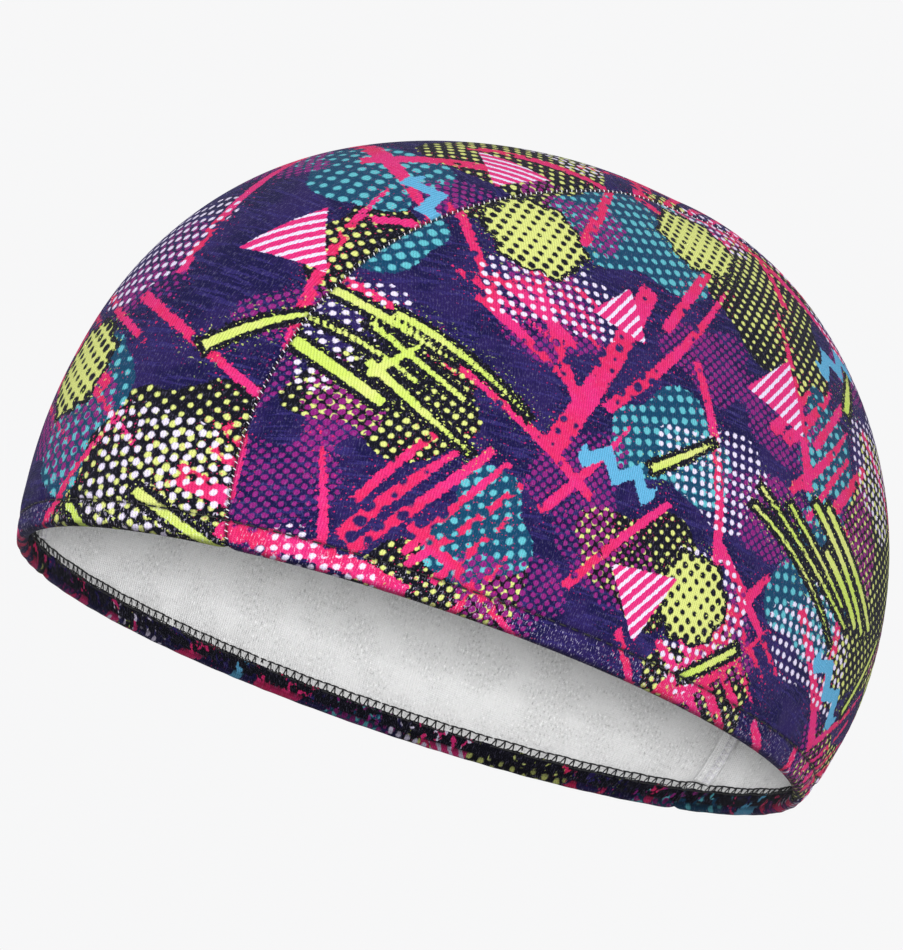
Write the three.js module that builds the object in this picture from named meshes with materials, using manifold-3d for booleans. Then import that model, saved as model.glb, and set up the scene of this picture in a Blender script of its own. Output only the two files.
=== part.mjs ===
// A stretch-cloth swim cap in the shape that it has when it is worn.
// Three sewn panels, a centre strip and two sides, make one dome whose lower edge is hemmed.
// Millimetres, +Z up to the crown. The origin is the centre of the rim opening, the front faces -Y.
import * as THREE from 'three';
import { ParametricGeometry } from 'three/addons/geometries/ParametricGeometry.js';
import { mergeVertices } from 'three/addons/utils/BufferGeometryUtils.js';
import Module from 'manifold-3d';

// Dome, over the outer face of the cloth
const RIM_HALF_LENGTH = 95;
const RIM_HALF_WIDTH = 74;
const CROWN_HEIGHT = 124;
const CROWN_LEAN = 24;

// One row for each way that the dome faces.
// bulge: how far it swells past the rim, as a share of the rim's half length.
// rise: the height of the widest place, as a share of the crown height.
// roundness: 2 is an ellipse, and more is squarer.
const SECTIONS = {
  front: { bulge: 0.09, rise: 0.35, roundness: 2.35 },
  side: { bulge: 0.03, rise: 0.115, roundness: 2 },
  back: { bulge: 0.036, rise: 0.18, roundness: 1.85 },
};

// Cloth
const CLOTH = 1;
const SEWN_GAP = 0.3;
const HEM_DEPTH = 7;

// The seams between the centre panel and the sides, seen from above
const CENTRE_HALF_WIDTH = 48;
// along: place from front to back, as a share of the rim's half length.
// spread: the seam's distance from the middle, as a share of the centre panel's half width.
const SEAM = [
  { along: -1.3, spread: 1 },
  { along: -0.6, spread: 0.98 },
  { along: -0.2, spread: 0.85 },
  { along: 0.08, spread: 0.66 },
  { along: 0.35, spread: 0.57 },
  { along: 0.7, spread: 0.58 },
  { along: 1.3, spread: 0.59 },
];
const SEAM_POINTS = 24;

// The seam allowance, pressed flat against the inside of the centre panel
const ALLOWANCE_WIDTH = 5;
const ALLOWANCE_THICKNESS = 1;

// Facets
const AROUND = 76;
const RISE_ROWS = 3;
const CROWN_ROWS = 14;
const FOLD_ROWS = 4;
const NUDGE = 1e-3;
const BITE = 0.3;

const wasm = await Module();
wasm.setup();

function blend(theta, name) {
  const end = Math.cos(theta) > 0 ? SECTIONS.front : SECTIONS.back;
  const share = Math.cos(theta) ** 2;
  return SECTIONS.side[name] + (end[name] - SECTIONS.side[name]) * share;
}

// A point of the outer face. theta is 0 at the front and a quarter turn at the left side of the wearer.
// climb is 0 at the rim, 1 at the top of the hem, 2 at the widest place and 3 at the crown.
function outerPoint(theta, climb) {
  const bulge = blend(theta, 'bulge') * RIM_HALF_LENGTH;
  const rise = Math.max(blend(theta, 'rise') * CROWN_HEIGHT, HEM_DEPTH + CLOTH);
  const roundness = blend(theta, 'roundness');
  const rim = 1 / Math.hypot(Math.cos(theta) / RIM_HALF_LENGTH, Math.sin(theta) / RIM_HALF_WIDTH);
  let height = climb < 1 ? climb * HEM_DEPTH : THREE.MathUtils.lerp(HEM_DEPTH, rise, climb - 1);
  let radius = rim + bulge - bulge * (1 - height / rise) ** 2;
  if (climb > 2) {
    const angle = Math.min(climb - 2, 1) * Math.PI / 2;
    height = rise + (CROWN_HEIGHT - rise) * Math.sin(angle) ** (2 / roundness);
    radius = (rim + bulge) * Math.max(Math.cos(angle), 0) ** (2 / roundness);
  }
  const lean = CROWN_LEAN * height / CROWN_HEIGHT;
  return new THREE.Vector3(radius * Math.sin(theta), lean - radius * Math.cos(theta), height);
}

function outwards(theta, climb) {
  if (climb > 3 - NUDGE) return new THREE.Vector3(0, 0, 1);
  const around = outerPoint(theta + NUDGE, climb).sub(outerPoint(theta - NUDGE, climb));
  const low = Math.max(climb, NUDGE) - NUDGE;
  const up = outerPoint(theta, low + 2 * NUDGE).sub(outerPoint(theta, low));
  return around.cross(up).normalize();
}

// The outer face and its inside copies: depth is measured into the cloth, square to the face.
function inCloth(theta, climb, depth) {
  return outerPoint(theta, climb).addScaledVector(outwards(theta, climb), -depth);
}

function rows(from, to, count) {
  return Array.from({ length: count }, (_, i) => THREE.MathUtils.lerp(from, to, (i + 1) / count));
}

const WALL_CLIMBS = [1, ...rows(1, 2, RISE_ROWS), ...rows(2, 3, CROWN_ROWS)];

// The path of the cloth from the crown down its outer face, round the hem's fold
// and up again to the raw edge, then down into the fold and up the inner face.
function hemmedPath() {
  const folded = 2 * CLOTH + SEWN_GAP;
  const foldRadius = folded / 2;
  const foldTop = foldRadius / HEM_DEPTH;
  const fold = rows(0, Math.PI, FOLD_ROWS).slice(0, -1).map((angle) => ({
    climb: foldTop * (1 - Math.sin(angle)),
    depth: foldRadius * (1 - Math.cos(angle)),
  }));
  return [
    ...WALL_CLIMBS.toReversed().map((climb) => ({ climb, depth: 0 })),
    { climb: foldTop, depth: 0 },
    ...fold,
    { climb: foldTop, depth: folded },
    { climb: 1, depth: folded },
    { climb: 1, depth: CLOTH + SEWN_GAP },
    { climb: foldTop, depth: CLOTH + SEWN_GAP },
    { climb: foldTop, depth: CLOTH },
    ...WALL_CLIMBS.map((climb) => ({ climb, depth: CLOTH })),
  ];
}

// A layer of cloth inside the wall, from just above the hem's raw edge to the crown.
function layerPath(outerDepth, innerDepth) {
  const climbs = [1 + SEWN_GAP / HEM_DEPTH, ...WALL_CLIMBS.slice(1)];
  return [
    ...climbs.toReversed().map((climb) => ({ climb, depth: outerDepth })),
    ...climbs.map((climb) => ({ climb, depth: innerDepth })),
  ];
}

// Turns a path into a closed body that goes round the dome, clockwise, so that its faces point out.
function sweep(path) {
  const last = path.length - 1;
  const surface = new ParametricGeometry((u, v, target) => {
    const station = path[Math.round(v * last)];
    const theta = (AROUND - Math.round(u * AROUND)) % AROUND * 2 * Math.PI / AROUND;
    target.copy(inCloth(theta, station.climb, station.depth));
  }, AROUND, last);
  return toSolid(surface);
}

function toSolid(geometry) {
  geometry.deleteAttribute('normal');
  geometry.deleteAttribute('uv');
  const merged = mergeVertices(geometry);
  const index = Array.from(merged.index.array);
  const faces = [];
  for (let i = 0; i < index.length; i += 3) {
    const [a, b, c] = index.slice(i, i + 3);
    if (a !== b && b !== c && c !== a) faces.push(a, b, c);
  }
  const mesh = new wasm.Mesh({
    numProp: 3,
    vertProperties: Float32Array.from(merged.attributes.position.array),
    triVerts: Uint32Array.from(faces),
  });
  return new wasm.Manifold(mesh);
}

function toGeometry(solid) {
  const mesh = solid.getMesh();
  const geometry = new THREE.BufferGeometry();
  geometry.setAttribute('position', new THREE.BufferAttribute(mesh.vertProperties, mesh.numProp));
  geometry.setIndex(new THREE.BufferAttribute(mesh.triVerts, 1));
  geometry.computeVertexNormals();
  return geometry;
}

// The seam on the wearer's left, seen from above and moved outwards by offset.
function seamPoints(offset) {
  const curve = new THREE.SplineCurve(SEAM.map(({ along, spread }) => (
    new THREE.Vector2(spread * CENTRE_HALF_WIDTH, along * RIM_HALF_LENGTH)
  )));
  return curve.getPoints(SEAM_POINTS).map((point) => point.add(new THREE.Vector2(offset, 0)));
}

function upright(points) {
  const shape = new THREE.Shape(points);
  const height = 1.5 * CROWN_HEIGHT;
  const block = new THREE.ExtrudeGeometry(shape, { depth: height, bevelEnabled: false });
  return toSolid(block.translate(0, 0, -height / 6));
}

function mirrored(points) {
  return points.map(({ x, y }) => new THREE.Vector2(-x, y));
}

// All that lies between the two seams, moved outwards by offset.
function betweenSeams(offset) {
  const left = seamPoints(offset);
  return upright([...left, ...mirrored(left).toReversed()]);
}

// All that lies on the far side of one seam. side is 1 on the wearer's left and -1 on the right.
function beyondSeam(side, offset) {
  const left = seamPoints(offset);
  const reach = 2 * RIM_HALF_LENGTH;
  const outline = [
    ...left,
    new THREE.Vector2(reach, left.at(-1).y),
    new THREE.Vector2(reach, left[0].y),
  ];
  return upright(side > 0 ? outline : mirrored(outline).toReversed());
}

const dome = sweep(hemmedPath());

function centrePanel() {
  const cut = -SEWN_GAP / 2;
  const wall = dome.intersect(betweenSeams(cut));
  const layer = sweep(layerPath(CLOTH - BITE, CLOTH + ALLOWANCE_THICKNESS));
  const allowances = layer.intersect(betweenSeams(cut)).subtract(betweenSeams(cut - ALLOWANCE_WIDTH));
  return wall.add(allowances);
}

function sidePanel(side) {
  return dome.intersect(beyondSeam(side, SEWN_GAP / 2));
}

const printedCloth = new THREE.MeshStandardMaterial({ color: 0x2a1c5c, roughness: 0.75, metalness: 0 });

function node(name, solid) {
  const mesh = new THREE.Mesh(toGeometry(solid), printedCloth.clone());
  mesh.name = name;
  return mesh;
}

const cap = new THREE.Group();
cap.name = 'swim_cap';
cap.add(
  node('centre_panel', centrePanel()),
  node('left_panel', sidePanel(1)),
  node('right_panel', sidePanel(-1)),
);

export default cap;
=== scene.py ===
import math
import random

import bpy
import numpy as np
from bpy.props import FloatProperty, FloatVectorProperty, PointerProperty
from bpy.types import Operator, Panel, PropertyGroup
from mathutils import Matrix, Vector


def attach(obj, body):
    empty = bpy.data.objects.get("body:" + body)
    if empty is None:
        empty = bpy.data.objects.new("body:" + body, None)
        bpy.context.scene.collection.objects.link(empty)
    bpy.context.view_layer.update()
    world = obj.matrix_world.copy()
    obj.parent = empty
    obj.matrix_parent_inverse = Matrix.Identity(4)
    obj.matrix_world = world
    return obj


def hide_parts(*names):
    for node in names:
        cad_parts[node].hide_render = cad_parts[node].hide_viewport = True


bl_info = {
    "name": "Swim Cap",
    "version": (1, 0, 0),
    "blender": (4, 5, 0),
    "location": "View3D > Sidebar > Swim Cap",
    "description": "Sews a stretch-cloth swim cap from three printed panels",
    "category": "Add Mesh",
}

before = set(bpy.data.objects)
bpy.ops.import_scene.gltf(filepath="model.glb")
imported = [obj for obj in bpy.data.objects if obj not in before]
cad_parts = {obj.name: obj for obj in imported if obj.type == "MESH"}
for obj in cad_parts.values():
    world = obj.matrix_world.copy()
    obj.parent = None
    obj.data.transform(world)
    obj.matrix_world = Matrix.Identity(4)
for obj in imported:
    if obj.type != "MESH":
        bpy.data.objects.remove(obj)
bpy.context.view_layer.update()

MM = 0.001
TURN = 2 * math.pi

# One row for each way that the dome faces, in shares of the rim's half length and the crown height.
SECTIONS = {
    "front": {"bulge": 0.09, "rise": 0.35, "roundness": 2.35},
    "side": {"bulge": 0.03, "rise": 0.115, "roundness": 2.0},
    "back": {"bulge": 0.036, "rise": 0.18, "roundness": 1.85},
}

# The seam seen from above, in shares of the rim's half length and the centre panel's half width.
SEAM = [
    {"along": -1.3, "spread": 1.0},
    {"along": -0.6, "spread": 0.98},
    {"along": -0.2, "spread": 0.85},
    {"along": 0.08, "spread": 0.66},
    {"along": 0.35, "spread": 0.57},
    {"along": 0.7, "spread": 0.58},
    {"along": 1.3, "spread": 0.59},
]

# The print's layers, from the ground up. Each row scatters one form over the cloth, in millimetres:
# layer, form, spacing between motifs, ranges of size and width, and the angles that a motif may have.
MOTIFS = [
    ("night", "blob", 70, (13, 22), (0, 0), (0, 90)),
    ("teal", "blob", 72, (9, 17), (0, 0), (0, 90)),
    ("magenta", "blob", 45, (8, 12.5), (0, 0), (0, 90)),
    ("pink", "stroke", 38, (32, 66), (2.0, 3.7), (-34, 58, 100)),
    ("pink", "stroke", 92, (40, 66), (4.2, 6.4), (-20, -34, 64)),
    ("pink", "rake", 80, (30, 46), (2.2, 3.4), (-34, 58)),
    ("frost", "blob", 64, (9, 14), (0, 0), (0, 90)),
    ("lime", "rake", 124, (34, 52), (1.8, 3.1), (-34, -28)),
    ("lime", "stroke", 74, (12, 28), (1.3, 2.4), (-12, 40, 75)),
    ("disc", "disc", 106, (9, 12), (0, 0), (0, 0)),
    ("flag", "triangle", 84, (9, 13), (0, 0), (15, 75, 40)),
    ("sky", "zigzag", 98, (8, 12), (2.4, 3.4), (-20, 30, 70)),
]

# Each of these attributes of the cloth holds the distance to the nearest motif of three layers.
PAINT_ATTRIBUTES = {
    "paint_low": ("night", "teal", "magenta"),
    "paint_mid": ("pink", "frost", "lime"),
    "paint_top": ("disc", "flag", "sky"),
}
FAR = 99.0
PAINT_REACH = 210
PAINT_LIMIT = 8

# Ripples along the hem: share of the pucker's height, length, and how far and over what length they drift.
# These and the other sizes of the relief are in millimetres.
RIPPLES = [(1.0, 9.5, 1.8, 61), (0.5, 5.3, 2.2, 43)]
RIPPLE_REACH = 5.5
GROOVE_DEPTH = 0.34
GROOVE_WIDTH = 0.55
PUFF_HEIGHT = 0.24
SWELL_HEIGHT = 0.2
SWELL_REACH = 2.2
GATHER_HEIGHT = 0.09
GATHER_PITCH = 3.4
GATHER_REACH = 2.6
WAVE_HEIGHT = 0.16
WAVE_START = 12

# Where each cloth is laid flat from: a point inside the cap, and millimetres of cloth for each radian
SIDE_MIDDLE = (0, 8, 34)
SIDE_FACING = (0.94, 0.08, 0.33)
SIDE_SPREAD = 88
CENTRE_MIDDLE = (0, 12, 30)
CENTRE_SPREAD = 88
CENTRE_FAN = 92


def a_length(name, description, metres):
    return FloatProperty(name=name, description=description, default=metres, unit="LENGTH")


def an_angle(name, description, degrees):
    return FloatProperty(name=name, description=description, default=math.radians(degrees), subtype="ANGLE")


def a_number(name, description, value):
    return FloatProperty(name=name, description=description, default=value)


def a_colour(name, description, *parts):
    return FloatVectorProperty(name=name, description=description, default=parts, subtype="COLOR")


class CapShape(PropertyGroup):
    """Sizes of the dome, over the outer face of the cloth."""

    rim_half_length: a_length("Rim half length", "Half the rim, front to back", 0.095)
    rim_half_width: a_length("Rim half width", "Half the rim, side to side", 0.074)
    crown_height: a_length("Crown height", "Height of the crown over the rim", 0.124)
    crown_lean: a_length("Crown lean", "How far the crown lies behind the rim's middle", 0.024)
    centre_half_width: a_length("Centre half width", "Half the centre panel at the front", 0.048)


class CapCloth(PropertyGroup):
    """Sizes of the cloth, its hem and its seams."""

    thickness: a_length("Cloth", "Thickness of one layer", 0.001)
    ply_gap: a_length("Ply gap", "Air between the wall and the turned-in hem", 0.0003)
    hem_depth: a_length("Hem depth", "Height of the hem with its overlock", 0.007)
    raw_edge: a_length("Raw edge", "Height of the turned-in cloth's raw edge", 0.0048)
    seam_gap: a_length("Seam gap", "Gap between two sewn edges", 0.00008)
    valley_depth: a_length("Valley depth", "How far the cloth dips at a seam", 0.0006)
    valley_width: a_length("Valley width", "How wide the dip at a seam is", 0.0009)
    pucker: a_length("Pucker", "Height of the ripples along the hem", 0.00018)
    weave_cell: a_length("Mesh cell", "Size of one face of the cloth's mesh", 0.00078)


class CapPrint(PropertyGroup):
    """Colours of the printed face and of the inside."""

    navy: a_colour("Navy", "Ground of the print", 0.007, 0.005, 0.050)
    indigo: a_colour("Indigo", "Faint brush marks on the ground", 0.028, 0.020, 0.130)
    yarn: a_colour("Yarn", "Base yarn that shows between the printed loops", 0.200, 0.185, 0.300)
    violet: a_colour("Violet", "Lighter patches of the ground", 0.018, 0.010, 0.080)
    night: a_colour("Night", "Near-black patches", 0.004, 0.004, 0.009)
    teal: a_colour("Teal", "Deep teal patches", 0.004, 0.050, 0.110)
    aqua: a_colour("Aqua", "Dots on the teal", 0.100, 0.430, 0.500)
    magenta: a_colour("Magenta", "Fine dots on the ground", 0.220, 0.012, 0.160)
    pink: a_colour("Pink", "Brush strokes", 0.640, 0.022, 0.170)
    red: a_colour("Red", "Warmer parts of the brush strokes", 0.620, 0.018, 0.100)
    frost: a_colour("Frost", "Pale dots", 0.700, 0.640, 0.820)
    lime: a_colour("Lime", "Lime strokes", 0.500, 0.640, 0.110)
    lemon: a_colour("Lemon", "Pale yellow discs", 0.600, 0.650, 0.190)
    sky: a_colour("Sky", "Light blue zigzags", 0.100, 0.360, 0.580)
    inside: a_colour("Inside", "Unprinted back of the cloth", 0.700, 0.700, 0.700)


class CapThread(PropertyGroup):
    """Sizes and colours of the sewing thread."""

    top_pitch: a_length("Topstitch pitch", "From one topstitch to the next", 0.0029)
    top_height: a_length("Topstitch height", "Height of the topstitch over the rim", 0.0058)
    top_width: a_length("Topstitch width", "Thickness of the topstitch thread", 0.00042)
    lock_pitch: a_length("Overlock pitch", "From one overlock loop to the next", 0.0021)
    lock_low: a_length("Overlock foot", "Height of the overlock's lower chain", 0.0043)
    lock_high: a_length("Overlock head", "Height of the overlock's upper chain", 0.0072)
    lock_width: a_length("Overlock width", "Thickness of the overlock thread", 0.00034)
    seam_pitch: a_length("Seam pitch", "From one seam stitch to the next", 0.0015)
    black: a_colour("Black", "Dark thread", 0.006, 0.006, 0.008)
    white: a_colour("White", "Pale thread", 0.72, 0.71, 0.75)


class CapStage(PropertyGroup):
    """The camera, the lights and the floor."""

    azimuth: an_angle("Azimuth", "Camera's turn round the cap", 64.6)
    elevation: an_angle("Elevation", "Camera's height over the rim plane", -13.3)
    roll: an_angle("Roll", "Tilt of the cap in the picture", 16.6)
    distance: a_length("Distance", "Camera's distance", 1.5)
    focal_pixels: a_number("Focal length", "Focal length in picture pixels", 6682)
    centre_x: a_number("Centre X", "Pixel column that the camera points at", 472.9)
    centre_y: a_number("Centre Y", "Pixel row that the camera points at", 466.7)
    floor_drop: a_length("Floor drop", "How far the floor lies under the cap", 4.0)


class SwimCap(PropertyGroup):
    """All settings of the swim cap."""

    shape: PointerProperty(type=CapShape)
    cloth: PointerProperty(type=CapCloth)
    paint: PointerProperty(type=CapPrint)
    thread: PointerProperty(type=CapThread)
    stage: PointerProperty(type=CapStage)


def settings():
    return bpy.context.scene.swim_cap


def spline(points, count):
    """A smooth curve through points, as a uniform Catmull-Rom spline."""
    points = np.asarray(points, float)
    place = np.linspace(0, len(points) - 1, count)
    index = np.minimum(place.astype(int), len(points) - 2)
    t = (place - index)[:, None]
    before = points[np.maximum(index - 1, 0)]
    start = points[index]
    end = points[index + 1]
    after = points[np.minimum(index + 2, len(points) - 1)]
    lean_start = (end - before) / 2
    lean_end = (after - start) / 2
    return ((2 * start - 2 * end + lean_start + lean_end) * t ** 3
            + (-3 * start + 3 * end - 2 * lean_start - lean_end) * t ** 2 + lean_start * t + start)


def lengths_along(points):
    """Distance from the first point to each point of a line."""
    steps = np.linalg.norm(np.diff(points, axis=0), axis=1)
    return np.concatenate([[0], np.cumsum(steps)])


def unit(vectors):
    return vectors / np.maximum(np.linalg.norm(vectors, axis=-1, keepdims=True), 1e-12)


def evenly(along, count, *columns):
    """Columns of numbers read again at even steps of the distance along."""
    wanted = np.linspace(0, along[-1], count)
    return [np.interp(wanted, along, column) for column in columns]


def odd(number):
    return 2 * round(number / 2) + 1


HALVINGS = 44


def bisect(low, high, is_high):
    """The place between low and high, for each entry, where is_high turns true."""
    low, high = np.array(low, float), np.array(high, float)
    for _ in range(HALVINGS):
        middle = (low + high) / 2
        past = is_high(middle)
        high = np.where(past, middle, high)
        low = np.where(past, low, middle)
    return (low + high) / 2


class Dome:
    """The worn shape of the cap.

    theta is 0 at the front and a quarter turn at the wearer's left. climb is 0 at the rim, 1 at the
    top of the hem, 2 at the widest place and 3 at the crown. A chart lays the dome over the hem out
    as a disc: its radius is the share of the way from the crown down to the top of the hem.
    """

    SEAM_POINTS = 400
    SEAM_STEPS = 1200
    OVER_STEPS = 900
    HEM_STEPS = 30
    TURN_POINTS = 721
    CLIMB_POINTS = 500

    def __init__(self, shape, cloth):
        self.half_length = shape.rim_half_length
        self.half_width = shape.rim_half_width
        self.crown = shape.crown_height
        self.lean = shape.crown_lean
        self.centre = shape.centre_half_width
        self.cloth = cloth.thickness
        self.hem = cloth.hem_depth
        knots = [(row["along"] * self.half_length, row["spread"] * self.centre) for row in SEAM]
        self.seam_y, self.seam_x = spline(knots, self.SEAM_POINTS).T
        self.turns = np.linspace(0, TURN, self.TURN_POINTS)
        self.rim_along = lengths_along(self.point(self.turns, 0.0))
        climbs = np.linspace(1, 3, self.CLIMB_POINTS)
        meridians = self.point(self.turns[:, None], climbs[None, :])
        self.radii = np.linspace(0, 1, self.CLIMB_POINTS)
        self.climb_table = []
        for meridian in meridians:
            length = lengths_along(meridian)
            self.climb_table.append(np.interp(self.radii, 1 - length[::-1] / length[-1], climbs[::-1]))
        self.climb_table = np.array(self.climb_table)

    def blend(self, theta, name):
        end = np.where(np.cos(theta) > 0, SECTIONS["front"][name], SECTIONS["back"][name])
        return SECTIONS["side"][name] + (end - SECTIONS["side"][name]) * np.cos(theta) ** 2

    def point(self, theta, climb):
        theta, climb = np.broadcast_arrays(np.asarray(theta, float), np.asarray(climb, float))
        bulge = self.blend(theta, "bulge") * self.half_length
        rise = np.maximum(self.blend(theta, "rise") * self.crown, self.hem + self.cloth)
        roundness = self.blend(theta, "roundness")
        rim = 1 / np.hypot(np.cos(theta) / self.half_length, np.sin(theta) / self.half_width)
        height = np.where(climb < 1, climb * self.hem, self.hem + (rise - self.hem) * (climb - 1))
        radius = rim + bulge - bulge * (1 - height / rise) ** 2
        angle = np.clip(climb - 2, 0, 1) * math.pi / 2
        over = climb > 2
        height = np.where(over, rise + (self.crown - rise) * np.sin(angle) ** (2 / roundness), height)
        radius = np.where(over, (rim + bulge) * np.clip(np.cos(angle), 0, 1) ** (2 / roundness), radius)
        y = self.lean * height / self.crown - radius * np.cos(theta)
        return np.stack([radius * np.sin(theta), y, height], axis=-1)

    def climb_at(self, theta, height):
        """The climb of points below the widest place."""
        rise = np.maximum(self.blend(theta, "rise") * self.crown, self.hem + self.cloth)
        return np.where(height < self.hem, height / self.hem, 1 + (height - self.hem) / (rise - self.hem))

    def outwards(self, theta, climb):
        theta, climb = np.broadcast_arrays(np.asarray(theta, float), np.asarray(climb, float))
        nudge = 1e-4
        low = np.clip(climb, nudge, 3 - nudge) - nudge
        around = self.point(theta + nudge, climb) - self.point(theta - nudge, climb)
        up = self.point(theta, low + 2 * nudge) - self.point(theta, low)
        normal = unit(np.cross(around, up))
        normal[climb > 3 - 1e-3] = (0, 0, 1)
        return normal

    def seam_gap(self, theta, climb, offset):
        """How far a point lies outside the left seam, seen from above. offset moves the seam out."""
        place = self.point(theta, climb)
        return place[..., 0] - np.interp(place[..., 1], self.seam_y, self.seam_x) - offset

    def seam_turn(self, climb, offset, end):
        """The theta at which a level of the hem meets the left seam, at its front or back end."""
        climb = np.asarray(climb, float)
        if end == "front":
            low, high = np.zeros_like(climb), np.full_like(climb, math.pi / 2)
            return bisect(low, high, lambda theta: self.seam_gap(theta, climb, offset) > 0)
        low, high = np.full_like(climb, math.pi / 2), np.full_like(climb, math.pi)
        return bisect(low, high, lambda theta: self.seam_gap(theta, climb, offset) < 0)

    def from_chart(self, flat):
        """theta and climb of points on the chart."""
        theta = np.arctan2(flat[..., 0], -flat[..., 1]) % TURN
        radius = np.clip(np.linalg.norm(flat, axis=-1), 0, 1)
        row = theta / TURN * (len(self.turns) - 1)
        column = radius * (len(self.radii) - 1)
        i = np.minimum(row.astype(int), len(self.turns) - 2)
        j = np.minimum(column.astype(int), len(self.radii) - 2)
        a, b = row - i, column - j
        table = self.climb_table
        climb = ((1 - a) * (1 - b) * table[i, j] + a * (1 - b) * table[i + 1, j]
                 + (1 - a) * b * table[i, j + 1] + a * b * table[i + 1, j + 1])
        return theta, climb

    def on_chart(self, theta, radius=1.0):
        return np.stack([radius * np.sin(theta), -radius * np.cos(theta)], axis=-1)

    def seam_on_chart(self, offset, count):
        """The left seam over the hem, from front to back, at even distances."""
        front = self.on_chart(self.seam_turn(1.0, offset, "front"))
        back = self.on_chart(self.seam_turn(1.0, offset, "back"))
        q = np.linspace(front[1], back[1], self.SEAM_STEPS)

        def outside(p):
            theta, climb = self.from_chart(np.stack([p, q], axis=-1))
            return self.seam_gap(theta, climb, offset) > 0

        p = bisect(np.zeros_like(q), np.sqrt(np.clip(1 - q ** 2, 0, 1)), outside)
        p[0], p[-1] = front[0], back[0]
        flat = np.stack([p, q], axis=-1)
        along = lengths_along(self.point(*self.from_chart(flat)))
        return np.stack(evenly(along, count, *flat.T), axis=-1)

    def rim_distance(self, theta):
        return np.interp(theta % TURN, self.turns, self.rim_along)

    def round_the_rim(self, pitch):
        """Turns at even distances round the rim, about a pitch apart."""
        count = round(self.rim_along[-1] / pitch)
        return np.interp(np.arange(count) / count * self.rim_along[-1], self.rim_along, self.turns)

    def whole_seam(self, count):
        """The left seam from rim to rim, as theta and climb, at even distances."""
        climbs = np.linspace(0, 1, self.HEM_STEPS)[:-1]
        over = self.from_chart(self.seam_on_chart(0.0, self.OVER_STEPS))
        theta = np.concatenate([self.seam_turn(climbs, 0.0, "front"), over[0],
                                self.seam_turn(climbs[::-1], 0.0, "back")])
        climb = np.concatenate([climbs, over[1], climbs[::-1]])
        along = lengths_along(self.point(theta, climb))
        return evenly(along, count, theta, climb)


def distance_to_line(points, line, batch=4000):
    """Distance from each point to the nearest point of a dense line, and the place along it."""
    along = lengths_along(line)
    nearest, place = [], []
    for start in range(0, len(points), batch):
        block = points[start:start + batch]
        gaps = ((block[:, None, :] - line[None, :, :]) ** 2).sum(axis=2)
        index = gaps.argmin(axis=1)
        nearest.append(np.sqrt(gaps[np.arange(len(block)), index]))
        place.append(along[index])
    return np.concatenate(nearest), np.concatenate(place)


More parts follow.
